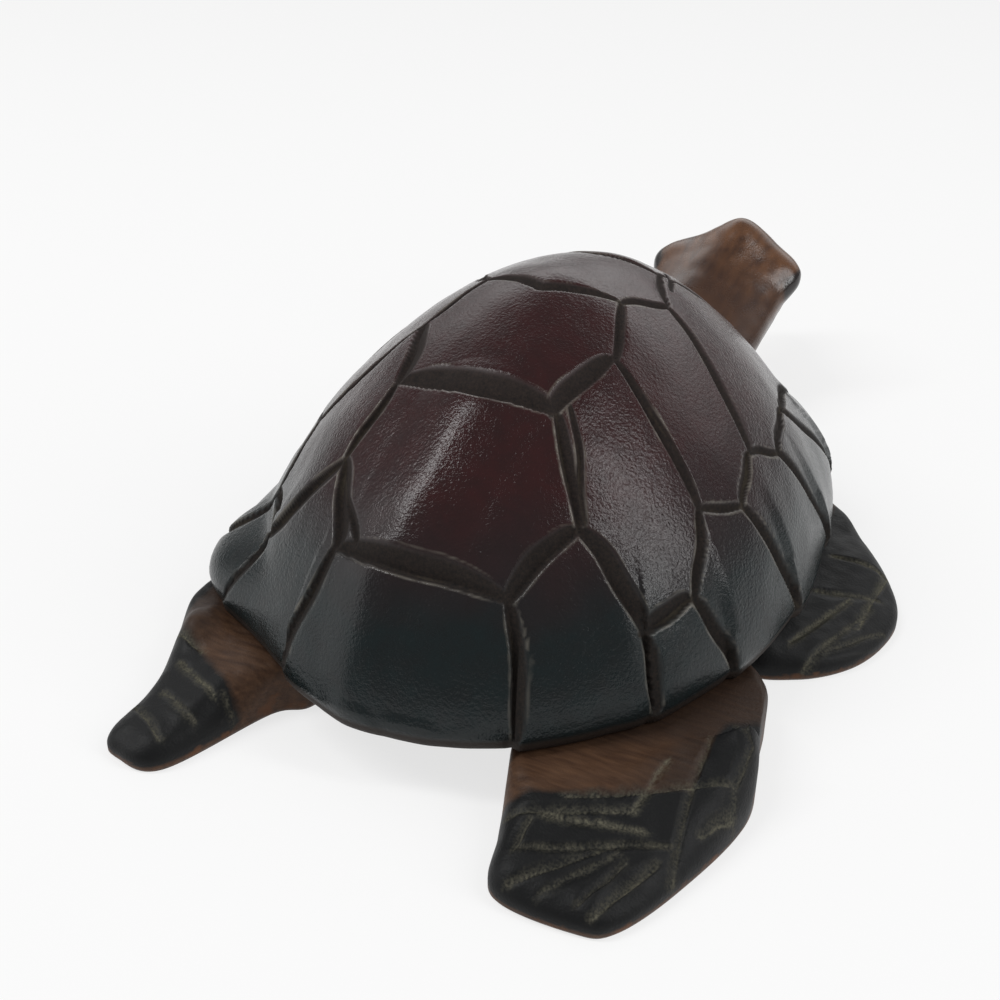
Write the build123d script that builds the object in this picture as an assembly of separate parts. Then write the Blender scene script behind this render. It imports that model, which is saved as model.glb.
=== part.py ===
from build123d import *
import math
import os

# Carved wooden turtle: a domed shell block with incised scutes, a belly board pegged under it,
# four flippers and a head with its neck, each dowelled and glued to the shell.
# Millimetres, +Z up, +Y towards the head, +X towards the turtle's right side.
# The model is built around the shell's centre and is moved at the end, so that the origin is
# the centre of the footprint on the ground.

# Shell
shell_width = 74.0
shell_length = 96.6
rim_height = 9.0
shell_rise = 37.4
dome_exponent = 1.53
lip_height = 2.0
lip_inset = 1.0
under_edge_inset = 4.0

# The rim arches over the neck: the lift in front, its spread in degrees and the share of the way out
# where the lift begins
neck_arch_height = 9.0
neck_arch_spread = 21.0
neck_arch_start = 0.55

# The block was rounded by eye, so its rim swells in two places: in degrees from +X, by which share of
# its reach, over how many degrees and from which share of the way out
rim_swells = [(213.0, 0.15, 14.0, 0.94), (40.0, 0.07, 17.0, 0.8)]

# The shell is fuller at one place beside the neck: where, how wide and how much
full_place_x = 5.5
full_place_y = 19.0
full_place_radius = 12.0
full_place_height = 1.8

# V grooves between the scutes
groove_half_width = 1.3
groove_depth = 1.1

# Belly board
belly_height = 2.5
belly_inset = 6.0
belly_edge_radius = 1.6

# Flippers: places of their dowels, measured inwards from the shell's rim, and their shapes
leg_inset_side = 14.0
rear_leg_inset = 21.0
front_leg_inset = 24.0
flipper_tip_thickness = 3.2
flipper_corner_radius = 2.2
flipper_side_taper = 12.0

# Head and neck
neck_inset = 12.3
neck_width = 24.4
neck_height = 13.0
neck_centre_height = 11.2
neck_reach = 3.0
head_offset = 1.3
eye_radius = 3.8
eye_spacing = 18.6
eye_height = 20.2
eye_reach = 23.7

# Sections of the head: reach in front of the shell, height of the cheeks, width, rise of the crown and
# drop of the jaw from the cheeks, and fullness of the crown from 1 for a gable to 2 for an ellipse
head_stations = [
    (2.0, 11.2, 24.2, 6.4, 6.4, 2.0),
    (9.7, 14.4, 24.8, 7.8, 7.6, 1.7),
    (17.7, 18.2, 24.4, 7.8, 8.3, 1.35),
    (25.7, 20.2, 23.2, 8.7, 8.2, 1.15),
    (31.2, 20.1, 20.4, 7.8, 7.6, 1.3),
    (36.7, 18.9, 15.6, 6.0, 6.2, 1.6),
    (41.7, 17.4, 6.4, 2.6, 2.8, 2.0),
]

# Dowels, pegs and the gaps that the glue fills
leg_dowel_diameter = 6.0
leg_dowel_in_shell = 7.5
leg_dowel_in_flipper = 4.6
neck_dowel_diameter = 6.0
neck_dowel_in_shell = 13.0
neck_dowel_in_neck = 13.0
neck_dowel_above_joint = 6.2
peg_diameter = 5.0
peg_in_shell = 8.0
peg_spacing_across = 20.0
peg_spacing_along = 34.0
dowel_clearance = 0.1
hole_end_gap = 0.4
joint_clearance = 0.2

half_width = shell_width / 2
half_length = shell_length / 2
joint_height = rim_height - lip_height

# Scute corners on the right half, as shares of the shell's half width and half length
scute_corners = {
    "tail_top": (0.315, -0.79),
    "rear_spine_side": (0.43, -0.605),
    "rear_spine_top": (0.25, -0.43),
    "rear_hip": (0.674, -0.638),
    "mid_spine_rear": (0.328, -0.211),
    "mid_spine_front": (0.249, -0.016),
    "rear_flank": (0.702, -0.342),
    "rear_flank_low": (0.764, -0.493),
    "front_spine_side": (0.355, 0.12),
    "mid_flank": (0.751, -0.06),
    "mid_flank_low": (0.796, -0.211),
    "front_flank": (0.741, 0.276),
    "front_flank_low": (0.806, 0.072),
    "front_spine_top": (0.25, 0.27),
    "shoulder": (0.66, 0.53),
    "neck_side": (0.42, 0.50),
    "neck_top": (0.30, 0.78),
}

# Corners that the carver placed differently on the left half
left_corners = {
    "tail_top": (-0.285, -0.787),
    "rear_spine_side": (-0.405, -0.59),
    "rear_spine_top": (-0.325, -0.415),
    "mid_spine_rear": (-0.385, -0.19),
}

# Corners whose groove runs on down to the rim, and where it meets the rim, in degrees from +X
rim_feet = {
    "tail_top": -65.5,
    "rear_hip": -42.6,
    "rear_flank_low": -26.1,
    "mid_flank_low": -6.7,
    "front_flank_low": 14.3,
    "front_flank": 36.0,
    "shoulder": 54.0,
    "neck_top": 71.0,
}

# Scutes of one side, each a ring of corners
side_scutes = [
    ["rear_spine_top", "mid_spine_rear", "rear_flank", "rear_flank_low", "rear_hip", "rear_spine_side"],
    ["mid_spine_rear", "mid_spine_front", "front_spine_side", "mid_flank", "mid_flank_low", "rear_flank"],
    [
        "front_spine_side", "front_spine_top", "neck_side", "shoulder",
        "front_flank", "front_flank_low", "mid_flank",
    ],
]

# Scutes over the spine, given by their right halves from rear to front
spine_scutes = [
    ["tail_top", "rear_spine_side", "rear_spine_top"],
    ["rear_spine_top", "mid_spine_rear", "mid_spine_front"],
    ["mid_spine_front", "front_spine_side", "front_spine_top"],
    ["front_spine_top", "neck_side", "neck_top"],
]

# Scutes along the rim, given by their upper corners from rear to front
rim_scutes = [
    ["tail_top", "rear_spine_side", "rear_hip"],
    ["rear_hip", "rear_flank_low"],
    ["rear_flank_low", "rear_flank", "mid_flank_low"],
    ["mid_flank_low", "mid_flank", "front_flank_low"],
    ["front_flank_low", "front_flank"],
    ["front_flank", "shoulder"],
    ["shoulder", "neck_side", "neck_top"],
]

# Flipper outlines on the ground, measured from the dowel: across in mm outwards, and along towards
# the head as a share of the distance between the front and the rear dowels
front_outline = [
    (-6.0, -0.122), (3.0, -0.355), (8.0, -0.655), (15.5, -0.64), (22.0, -0.514),
    (24.5, -0.326), (21.3, -0.161), (13.0, 0.004), (6.5, 0.101), (-3.0, 0.11),
]
rear_right_outline = [
    (-8.5, 0.122), (-9.5, -0.324), (-6.0, -0.514), (-3.2, -0.609), (5.7, -0.612),
    (9.5, -0.576), (13.8, -0.415), (17.0, -0.178), (15.8, 0.045), (7.0, 0.161),
]
rear_left_outline = [
    (-9.0, 0.122), (-9.0, -0.217), (-4.8, -0.314), (1.0, -0.581), (7.0, -0.599),
    (9.6, -0.552), (9.6, -0.382), (13.8, -0.116), (11.5, 0.087), (5.0, 0.161),
]

# Where the top of a flipper slopes down: its direction in degrees from +X, and how far from the
# dowel the slope starts and reaches the tip's thickness, as shares of the same distance
front_slope = (-20.0, 0.252, 0.581)
rear_slope = (-63.0, 0.233, 0.601)


def dome_height(across, along):
    """Height of the dome over a place given as shares of the shell's half width and half length."""
    share = min(math.hypot(across, along), 1.0)
    return rim_height + shell_rise * (1 - share**dome_exponent) ** (1 / dome_exponent)


def eased(low, high, value):
    """0 below the low value, 1 above the high one, and a smooth climb between them."""
    share = min(max((value - low) / (high - low), 0), 1)
    return share * share * (3 - 2 * share)


def bell(distance, spread):
    return math.exp(-((distance / spread) ** 2))


def dome_point(across, along):
    """A place on the dome with its swellings and the arch over the neck."""
    share = math.hypot(across, along)
    turn = math.degrees(math.atan2(along, across)) % 360
    grow = 1
    for degrees, amount, spread, start in rim_swells:
        grow += amount * bell(turn - degrees, spread) * eased(start, 1, share)
    x = across * half_width
    y = along * half_length
    lift = neck_arch_height * bell(turn - 90, neck_arch_spread) * eased(neck_arch_start, 1, share)
    lift += full_place_height * bell(math.hypot(x - full_place_x, y - full_place_y), full_place_radius)
    return Vector(x * grow, y * grow, dome_height(across, along) + lift)


def dome_normal(across, along):
    """Outward direction of the dome, from two short steps along its surface."""
    step = 0.002
    inner = 1 - step
    here = dome_point(across * inner, along * inner)
    uphill = here - dome_point(across * (inner - step), along * (inner - step))
    around = dome_point(across * inner - along * step, along * inner + across * step) - here
    return uphill.cross(around).normalized()


def sunk_point(across, along):
    """The bottom of a groove under a place on the dome."""
    return dome_point(across, along) - dome_normal(across, along) * groove_depth


def corner(name, side):
    across, along = scute_corners[name]
    return (across, along) if side > 0 else left_corners.get(name, (-across, along))


def rim_place(degrees):
    return (math.cos(math.radians(degrees)), math.sin(math.radians(degrees)))


def foot_angle(name, side):
    return rim_feet[name] if side > 0 else 180 - rim_feet[name]


def middle(places):
    """The average of some places."""
    return tuple(sum(values) / len(places) for values in zip(*places))


def drawn_in(place, centre):
    """A corner moved towards the middle of its scute, clear of the groove."""
    to_centre = Vector((centre[0] - place[0]) * half_width, (centre[1] - place[1]) * half_length, 0)
    step = to_centre.normalized() * groove_half_width
    return (place[0] + step.X / half_width, place[1] + step.Y / half_length)


def triangle(first, second, third):
    return Face(Wire.make_polygon([first, second, third]))


def strip(first, second, closed):
    """Triangles between two rows of points with as many points each."""
    faces = []
    for i in range(0 if closed else 1, len(first)):
        faces.append(triangle(first[i - 1], first[i], second[i]))
        faces.append(triangle(first[i - 1], second[i], second[i - 1]))
    return faces


def with_middles(places, closed):
    """The places with another one half way along each side."""
    result = []
    for place, after in zip(places, places[1:] + places[:1]):
        result += [place, middle([place, after])]
    return result if closed else result[:-1]


def scute_face(edge, centre):
    """A rounded scute: a band inside its edge, and triangles from that band to its peak."""
    inner = [middle([place, centre]) for place in edge]
    outer_points = [dome_point(*place) for place in edge]
    inner_points = [dome_point(*place) for place in inner]
    peak = dome_point(*centre)
    faces = strip(outer_points, inner_points, True)
    for i in range(len(inner_points)):
        faces.append(triangle(inner_points[i - 1], inner_points[i], peak))
    return faces


def ring_scute(corners):
    """A scute with grooves all round: its face, and its half of each groove."""
    places = with_middles(corners, True)
    centre = middle(places)
    edge = [drawn_in(place, centre) for place in places]
    tops = [dome_point(*place) for place in edge]
    bottoms = [sunk_point(*place) for place in places]
    return scute_face(edge, centre) + strip(tops, bottoms, True)


def rim_scute(spots):
    """A scute that ends at the rim. Gives its faces and its points along the rim."""
    uppers = [corner(*spot) for spot in spots]
    first_angle = foot_angle(*spots[0])
    last_angle = first_angle + (foot_angle(*spots[-1]) - first_angle) % 360
    half_groove = math.degrees(groove_half_width / half_width)
    start = first_angle + half_groove
    step = (last_angle - half_groove - start) / 4
    rim_edge = [rim_place(start + step * i) for i in range(5)]
    places = with_middles([rim_place(first_angle)] + uppers + [rim_place(last_angle)], False)
    centre = middle(places)
    inner_edge = [drawn_in(place, centre) for place in places[1:-1]]
    faces = scute_face(inner_edge + rim_edge[::-1], centre)
    tops = [dome_point(*place) for place in rim_edge[:1] + inner_edge + rim_edge[-1:]]
    bottoms = [sunk_point(*place) for place in places]
    faces += strip(tops, bottoms, False)
    return faces, [dome_point(*place) for place in rim_edge] + bottoms[-1:]


def under_rim(point):
    """The point that the lip curls in to, lower than the rim but not below the belly board's joint."""
    share = 1 - lip_inset / half_width
    return Vector(point.X * share, point.Y * share, max(point.Z - lip_height, joint_height))


def under_edge(point):
    """The edge of the flat underside, further in under the rim."""
    share = 1 - under_edge_inset / half_width
    return Vector(point.X * share, point.Y * share, joint_height)


def carved_dome():
    """The solid shell block: scutes, grooves, the lip of the rim and the flat underside."""
    faces = []
    for names in spine_scutes:
        right = [corner(name, 1) for name in names]
        left = [corner(name, -1) for name in reversed(names)]
        faces += ring_scute(right + left)
    for side in (1, -1):
        for names in side_scutes:
            faces += ring_scute([corner(name, side) for name in names])
    right = [[(name, 1) for name in names] for names in rim_scutes]
    left = [[(name, -1) for name in reversed(names)] for names in reversed(rim_scutes)]
    tail = [("tail_top", -1), ("tail_top", 1)]
    nape = [("neck_top", 1), ("neck_top", -1)]
    rim = []
    for spots in [tail] + right + [nape] + left:
        scute_faces, rim_points = rim_scute(spots)
        faces += scute_faces
        rim += rim_points
    lip = [under_rim(point) for point in rim]
    underside = [under_edge(point) for point in rim]
    faces += strip(rim, lip, True) + strip(lip, underside, True)
    faces.append(Face(Wire.make_polygon(underside)))
    return Solid(Shell(faces))


def upright(diameter, bottom, top, x, y):
    """A round pin or hole along Z."""
    return Pos(x, y, bottom) * extrude(Circle(diameter / 2), top - bottom)


def inset_corners(corners, distance):
    """The corners of an outline that runs anticlockwise, moved inwards by a distance."""
    moved = []
    for number, (x, y) in enumerate(corners):
        before = Vector(x, y) - Vector(*corners[number - 1])
        after = Vector(*corners[(number + 1) % len(corners)]) - Vector(x, y)
        first = Vector(-before.Y, before.X).normalized()
        second = Vector(-after.Y, after.X).normalized()
        step = (first + second) * (distance / (1 + first.dot(second)))
        moved.append((x + step.X, y + step.Y))
    return moved


def flipper_face(outline, inset, radius):
    """A flipper's outline around its dowel, moved inwards and with rounded corners."""
    corners = [(across, along * leg_spacing) for across, along in outline]
    sharp = make_face(Polyline(*inset_corners(corners, inset), close=True))
    return fillet(sharp.vertices(), radius)


def flipper_blank(outline, slope):
    """A flipper around its dowel: flat under the shell, sloping to its tip, with tapering sides."""
    degrees = slope[0]
    start = slope[1] * leg_spacing
    finish = slope[2] * leg_spacing
    fall = (joint_height - flipper_tip_thickness) / (finish - start)
    far = finish * 2
    ramp_plane = Plane(
        origin=(0, 0, joint_height),
        x_dir=(math.cos(math.radians(degrees)), math.sin(math.radians(degrees)), 0),
        z_dir=(math.sin(math.radians(degrees)), -math.cos(math.radians(degrees)), 0),
    )
    waste = Polyline((start, 0), (far, -fall * (far - start)), (far, far), (start, far), close=True)
    inset = joint_height * math.tan(math.radians(flipper_side_taper))
    foot = flipper_face(outline, 0, flipper_corner_radius)
    top = Pos(0, 0, joint_height) * flipper_face(outline, inset, flipper_corner_radius - inset)
    block = loft([foot, top], ruled=True)
    return block - extrude(ramp_plane * make_face(waste), far, both=True)


def neck_section(gap):
    return Ellipse(neck_width / 2 + gap, neck_height / 2 + gap)


def facing_front(distance, height, across=0):
    """An upright plane across the turtle that faces its head."""
    return Plane(origin=(across, distance, height), x_dir=(-1, 0, 0), z_dir=(0, 1, 0))


def head_section(reach, cheek_height, width, rise, drop, fullness):
    """A section of the head with twelve corners: a gabled crown over a round jaw."""
    corners = []
    for degrees in range(0, 360, 30):
        across = math.cos(math.radians(degrees))
        up = math.sin(math.radians(degrees))
        power = 2 / fullness if up > 0 else 1
        height = rise if up > 0 else drop
        x = math.copysign(abs(across) ** power, across) * width / 2
        corners.append((x, math.copysign(abs(up) ** power, up) * height))
    across = head_offset * eased(neck_reach, eye_reach, reach)
    plane = facing_front(half_length + reach, cheek_height, across)
    return plane * make_face(Polyline(*corners, close=True))


leg_x = half_width - leg_inset_side
rear_leg_y = rear_leg_inset - half_length
front_leg_y = half_length - front_leg_inset
leg_spacing = front_leg_y - rear_leg_y
neck_seat = half_length - neck_inset
legs = {
    "front_right": (front_outline, front_slope, 1, front_leg_y),
    "front_left": (front_outline, front_slope, -1, front_leg_y),
    "rear_right": (rear_right_outline, rear_slope, 1, rear_leg_y),
    "rear_left": (rear_left_outline, rear_slope, -1, rear_leg_y),
}


def placed_leg(shape, side, y):
    """Moves a shape made around its dowel to its leg, mirrored on the left side."""
    moved = Pos(leg_x, y, 0) * shape
    return moved if side > 0 else mirror(moved, Plane.YZ)


# Flippers and their dowels
nodes = {}
leg_holes = []
leg_pockets = []
for leg, (outline, slope, side, y) in legs.items():
    dowel_bottom = joint_height - leg_dowel_in_flipper
    dowel_top = joint_height + leg_dowel_in_shell
    hole = upright(
        leg_dowel_diameter + 2 * dowel_clearance,
        dowel_bottom - hole_end_gap,
        dowel_top + hole_end_gap,
        side * leg_x,
        y,
    )
    nodes[f"{leg}_flipper"] = placed_leg(flipper_blank(outline, slope), side, y) - hole
    nodes[f"{leg}_dowel"] = upright(leg_dowel_diameter, dowel_bottom, dowel_top, side * leg_x, y)
    leg_holes.append(hole)
    pocket = extrude(flipper_face(outline, -joint_clearance, flipper_corner_radius + joint_clearance),
                     joint_height)
    leg_pockets.append(placed_leg(pocket, side, y))

# Head and neck: a straight neck in the shell's front notch, then a gabled head with bulging eyes
neck_bar = extrude(facing_front(neck_seat, neck_centre_height) * neck_section(0), neck_inset + neck_reach)
head = neck_bar + loft([head_section(*station) for station in head_stations])
for side in (1, -1):
    eye_x = head_offset + side * eye_spacing / 2
    head += Pos(eye_x, half_length + eye_reach, eye_height) * Sphere(eye_radius)
neck_notch = extrude(
    facing_front(neck_seat, neck_centre_height) * neck_section(joint_clearance), neck_inset + neck_reach
)
neck_dowel_length = neck_dowel_in_shell + neck_dowel_in_neck
neck_dowel_plane = facing_front(neck_seat - neck_dowel_in_shell, joint_height + neck_dowel_above_joint)
neck_hole_plane = neck_dowel_plane.offset(-hole_end_gap)
neck_hole = extrude(
    neck_hole_plane * Circle(neck_dowel_diameter / 2 + dowel_clearance), neck_dowel_length + 2 * hole_end_gap
)
nodes["head_and_neck"] = head - neck_hole
nodes["neck_dowel"] = extrude(neck_dowel_plane * Circle(neck_dowel_diameter / 2), neck_dowel_length)

# Belly board and its pegs
peg_top = joint_height + peg_in_shell
pegs = []
peg_holes = []
for place in GridLocations(peg_spacing_across, peg_spacing_along, 2, 2):
    x, y = place.position.X, place.position.Y
    pegs.append(upright(peg_diameter, belly_height, peg_top, x, y))
    peg_holes.append(
        upright(peg_diameter + 2 * dowel_clearance, belly_height, peg_top + hole_end_gap, x, y)
    )
board = Pos(0, 0, belly_height) * extrude(
    Ellipse(half_width - belly_inset, half_length - belly_inset), joint_height - belly_height
)
board = fillet(board.faces().sort_by(Axis.Z)[0].edges(), belly_edge_radius)
nodes["plastron"] = board - leg_pockets - neck_notch - peg_holes
nodes["belly_pegs"] = Compound(pegs)

# Carved shell
nodes["carapace"] = carved_dome() - neck_notch - neck_hole - leg_holes - peg_holes

# Origin at the centre of the footprint
box = Compound(list(nodes.values())).bounding_box()
to_origin = Pos(-box.center().X, -box.center().Y, -box.min.Z)
os.makedirs("parts", exist_ok=True)
for name, shape in nodes.items():
    export_step(to_origin * shape, f"parts/{name}.step")
print("overall size", box.size, "shell centre at y", -box.center().Y)
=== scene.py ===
# %% [markdown]
# # A carved and lacquered wooden turtle
# This notebook dresses the solid model of a small carved turtle. The solids give the sizes and the
# places; here the shell, the flippers and the head get carved surfaces, and every piece gets a finish.

# %% Load the fixed frame
import math

import bmesh
import bpy
import numpy as np
from mathutils import Matrix, Vector, kdtree


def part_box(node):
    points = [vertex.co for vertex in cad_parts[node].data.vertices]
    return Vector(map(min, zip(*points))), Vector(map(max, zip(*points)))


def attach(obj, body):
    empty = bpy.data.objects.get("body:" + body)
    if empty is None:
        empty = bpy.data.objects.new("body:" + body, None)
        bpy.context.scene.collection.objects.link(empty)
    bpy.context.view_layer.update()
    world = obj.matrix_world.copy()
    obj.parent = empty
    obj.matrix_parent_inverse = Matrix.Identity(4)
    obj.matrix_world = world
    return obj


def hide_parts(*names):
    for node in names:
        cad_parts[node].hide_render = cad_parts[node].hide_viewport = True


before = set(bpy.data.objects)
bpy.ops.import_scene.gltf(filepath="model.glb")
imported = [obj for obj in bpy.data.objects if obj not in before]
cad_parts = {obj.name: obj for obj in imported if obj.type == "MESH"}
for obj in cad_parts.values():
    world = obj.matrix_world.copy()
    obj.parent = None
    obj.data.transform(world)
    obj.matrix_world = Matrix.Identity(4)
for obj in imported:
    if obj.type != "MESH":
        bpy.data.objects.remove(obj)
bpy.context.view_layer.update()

# %% [markdown]
# ## One ruler for everything
# A carver thinks in millimetres from the middle of the shell, and Blender in metres from the origin.
# One small function turns the first into the second, so the numbers of its pieces are sizes on the turtle:
# x is towards its right side, y towards its head and z up from the table.

# %% Sizes of the shell, in millimetres
MM = 0.001
HALF_WIDTH = 37.0
HALF_LENGTH = 48.3
RIM_HEIGHT = 9.0
RISE = 37.4
FULLNESS = 1.53
LIP_HEIGHT = 2.0
LIP_INSET = 1.0
shell_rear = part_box("carapace")[0][1]
SHELL_CENTRE = np.array([0.0, shell_rear + HALF_LENGTH * MM, 0.0])


def to_frame(points):
    """Millimetres around the shell's centre to metres in the frame."""
    return np.asarray(points, float) * MM + SHELL_CENTRE


print("shell centre", SHELL_CENTRE.round(4))

# %% [markdown]
# ## Camera
# The photograph was taken close up, from behind the turtle and a little to its right. A close camera
# makes the near flipper large and the head small, so the distance matters as much as the angle.

# %% Camera
CAMERA_PLACE = (63.4, -147.4, 109.1)
CAMERA_YAW = math.radians(25.78)
CAMERA_PITCH = math.radians(31.16)
camera_data = bpy.data.cameras.new("camera")
camera_data.sensor_width = 36.0
camera_data.lens = 48.7
camera_data.clip_start = 0.005
camera = bpy.data.objects.new("camera", camera_data)
looking = Vector((
    -math.sin(CAMERA_YAW) * math.cos(CAMERA_PITCH),
    math.cos(CAMERA_YAW) * math.cos(CAMERA_PITCH),
    -math.sin(CAMERA_PITCH),
))
camera.location = to_frame(CAMERA_PLACE)
camera.rotation_euler = looking.to_track_quat("-Z", "Y").to_euler()
bpy.context.scene.collection.objects.link(camera)
bpy.context.scene.camera = camera
bpy.context.scene.view_settings.view_transform = "Standard"
print("camera at", [round(v, 4) for v in camera.location])

# %% [markdown]
# ## Shader sums in Python
# A finish is a small piece of arithmetic: so much stain, less where the edge is worn, plus dust in the
# cuts. Wrapping a node's output in a class lets that be written as a sum. Each operator adds a Math
# node, and `node` adds any other kind.


# %% A socket for sums
class Shade:
    def __init__(self, tree, socket=None):
        self.tree = tree
        self.socket = socket

    def node(self, kind, settings=None, sockets=None, output=0):
        """Adds a node: its settings first, then a value or a link for each named socket."""
        made = self.tree.nodes.new(kind)
        for name, value in (settings or {}).items():
            setattr(made, name, value)
        for name, value in (sockets or {}).items():
            if isinstance(value, Shade):
                self.tree.links.new(value.socket, made.inputs[name])
            else:
                made.inputs[name].default_value = value
        return Shade(self.tree, made.outputs[output] if made.outputs else None)

    def math(self, operation, first, second=0.0):
        return self.node("ShaderNodeMath", {"operation": operation}, {0: first, 1: second})

    def __add__(self, other):
        return self.math("ADD", self, other)

    def __sub__(self, other):
        return self.math("SUBTRACT", self, other)

    def __rsub__(self, other):
        return self.math("SUBTRACT", other, self)

    def __mul__(self, other):
        return self.math("MULTIPLY", self, other)

    __radd__ = __add__
    __rmul__ = __mul__

    def larger(self, other):
        return self.math("MAXIMUM", self, other)

    def over(self, low, high):
        """0 at the low value, 1 at the high one, and an even climb between them."""
        return self.node("ShaderNodeMapRange", {"clamp": True}, {"Value": self, 1: low, 2: high})

    def mix(self, first, second):
        """Two colours mixed by this value."""
        return self.node("ShaderNodeMix", {"data_type": "RGBA"}, {0: self, 6: first, 7: second}, 2)

    def painted(self, name):
        """A value that was painted on the mesh, point by point."""
        return self.node("ShaderNodeAttribute", {"attribute_name": name}, output="Fac")

    def place(self, stretch=(1, 1, 1)):
        """The place on the turtle, in metres, squeezed along each axis."""
        here = self.node("ShaderNodeTexCoord", output="Object")
        return self.node("ShaderNodeMapping", {}, {"Vector": here, "Scale": stretch})

    def speckle(self, size, detail=2.0, stretch=(1, 1, 1)):
        """Soft noise with blotches of about this size in millimetres."""
        spots = {"Vector": self.place(stretch), "Scale": 1 / (size * MM), "Detail": detail}
        return self.node("ShaderNodeTexNoise", {}, spots)

    def ray(self, kind):
        """1 for rays of one kind, and 0 for all others."""
        return self.node("ShaderNodeLightPath", output=f"Is {kind} Ray")

    def height(self):
        """Height above the table, in millimetres."""
        return self.node("ShaderNodeSeparateXYZ", {}, {0: self.place()}, "Z") * (1 / MM)


def colour(red, green, blue):
    return (red, green, blue, 1.0)


def new_finish(name):
    """A material with an empty tree, and a first Shade to write sums with."""
    finish = bpy.data.materials.new(name)
    finish.use_nodes = True
    finish.node_tree.nodes.clear()
    return finish, Shade(finish.node_tree)


def surface(start, base, roughness, relief, depth, fixed):
    """The one shader of a finish: varying colour, roughness and relief, and its fixed settings."""
    normal = start.node("ShaderNodeBump", {}, {"Height": relief, "Strength": 1.0, "Distance": depth * MM})
    sockets = {"Base Color": base, "Roughness": roughness, "Normal": normal}
    sockets.update(fixed)
    shader = start.node("ShaderNodeBsdfPrincipled", {}, sockets)
    start.node("ShaderNodeOutputMaterial", {}, {"Surface": shader})


print("shader helpers ready")

# %% [markdown]
# ## Surroundings
# Lacquer is a dark mirror, so what stands around it matters. A pale wall in front of the turtle and
# another at its left show as sheens, and the rest of the room is dim and leaves the colour deep. The
# camera itself sees plain white behind the turtle.

# %% A dim room with two pale walls
ROOM_LIGHT = 0.46
DIM_LIGHT = 0.3
FRONT_WALL = 2.0
LEFT_WALL = 1.0
studio = bpy.data.worlds.new("studio")
bpy.context.scene.world = studio
studio.use_nodes = True
studio.node_tree.nodes.clear()
start = Shade(studio.node_tree)
towards = start.node("ShaderNodeTexCoord", output="Generated")
upward = start.node("ShaderNodeSeparateXYZ", {}, {0: towards}, "Z")


def facing(direction):
    """How far a ray heads in a direction, from -1 to 1."""
    rays = {0: towards, 1: direction}
    return start.node("ShaderNodeVectorMath", {"operation": "DOT_PRODUCT"}, rays, "Value")


front_wall = facing((-0.15, 0.98, 0.1)).over(0.4, 0.9) * upward.over(0.18, 0.4) * upward.over(0.8, 0.6)
left_wall = facing((-1, -0.15, 0.2)).over(0.7, 0.9) * facing((0, -1, 0)).over(-0.1, 0.2)
walls = DIM_LIGHT + FRONT_WALL * front_wall + LEFT_WALL * left_wall
seen = start.ray("Camera")
mirrored = start.ray("Glossy")
through = start.ray("Transmission")
plain = seen.larger(through)
level = plain + (1 - plain) * (mirrored * walls + (1 - mirrored) * ROOM_LIGHT)
glow = start.node("ShaderNodeBackground", {}, {"Color": colour(1, 1, 1), "Strength": level})
start.node("ShaderNodeOutputWorld", {}, {"Surface": glow})
print("world ready")

# %% [markdown]
# ## Lamps
# The photograph has long, narrow highlights down the shell's rear and its right side. A long lamp that is
# mirrored in a dome gives such a streak, so one strip hangs high to the left and one to the right.

# %% Two strip lamps
# Place, length and width in metres, and power in watts.
LAMPS = {
    "left_strip": ((-0.41, -0.23, 0.67), (0.52, 0.12), 2.6),
    "right_strip": ((0.58, 0.035, 0.44), (0.62, 0.10), 1.9),
}
for name, (place, (length, width), power) in LAMPS.items():
    lamp_data = bpy.data.lights.new(name, "AREA")
    lamp_data.shape = "RECTANGLE"
    lamp_data.size = length
    lamp_data.size_y = width
    lamp_data.energy = power
    lamp = bpy.data.objects.new(name, lamp_data)
    lamp.location = place
    away = Vector(place).normalized()
    sideways = Vector((-away.y, away.x, 0)).normalized()
    rising = away.cross(sideways)
    lamp.rotation_euler = Matrix((rising, away.cross(rising), away)).transposed().to_euler()
    bpy.context.scene.collection.objects.link(lamp)
    print(name, "at", place)

# %% [markdown]
# ## The white sheet
# The sheet under the turtle has to read as plain white and still keep the turtle's shadow. It is a
# white matt surface mixed with a glow of its own, which is seen by the camera, in mirrors and through glass.

# %% Floor
FLOOR_HALF = 6.0
FLOOR_GLOW = 0.72
floor_mesh = bpy.data.meshes.new("floor")
floor_corners = [(-1, -1), (1, -1), (1, 1), (-1, 1)]
floor_mesh.from_pydata([(x * FLOOR_HALF, y * FLOOR_HALF, 0) for x, y in floor_corners], [], [(0, 1, 2, 3)])
floor = bpy.data.objects.new("floor", floor_mesh)
bpy.context.scene.collection.objects.link(floor)
white_sheet, start = new_finish("white_sheet")
matt = start.node("ShaderNodeBsdfDiffuse", {}, {"Color": colour(0.9, 0.9, 0.9)})
shine = start.node("ShaderNodeEmission", {}, {"Color": colour(1, 1, 1), "Strength": 1.0})
seen = start.ray("Camera")
mirrored = start.ray("Glossy")
through = start.ray("Transmission")
lit = seen.larger(mirrored).larger(through) * FLOOR_GLOW
both = start.node("ShaderNodeMixShader", {}, {0: lit, 1: matt, 2: shine})
start.node("ShaderNodeOutputMaterial", {}, {"Surface": both})
floor_mesh.materials.append(white_sheet)
print("floor ready")

# %% [markdown]
# ## Grids, waves and knife cuts
# Every carved piece here is a grid of rings, closed at both ends, whose points are pushed about by
# formulas: a slow unevenness for the hand-worked wood, and the knife cuts. Each point also keeps painted
# values, such as how much dust lies there, which the finishes read later.

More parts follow.
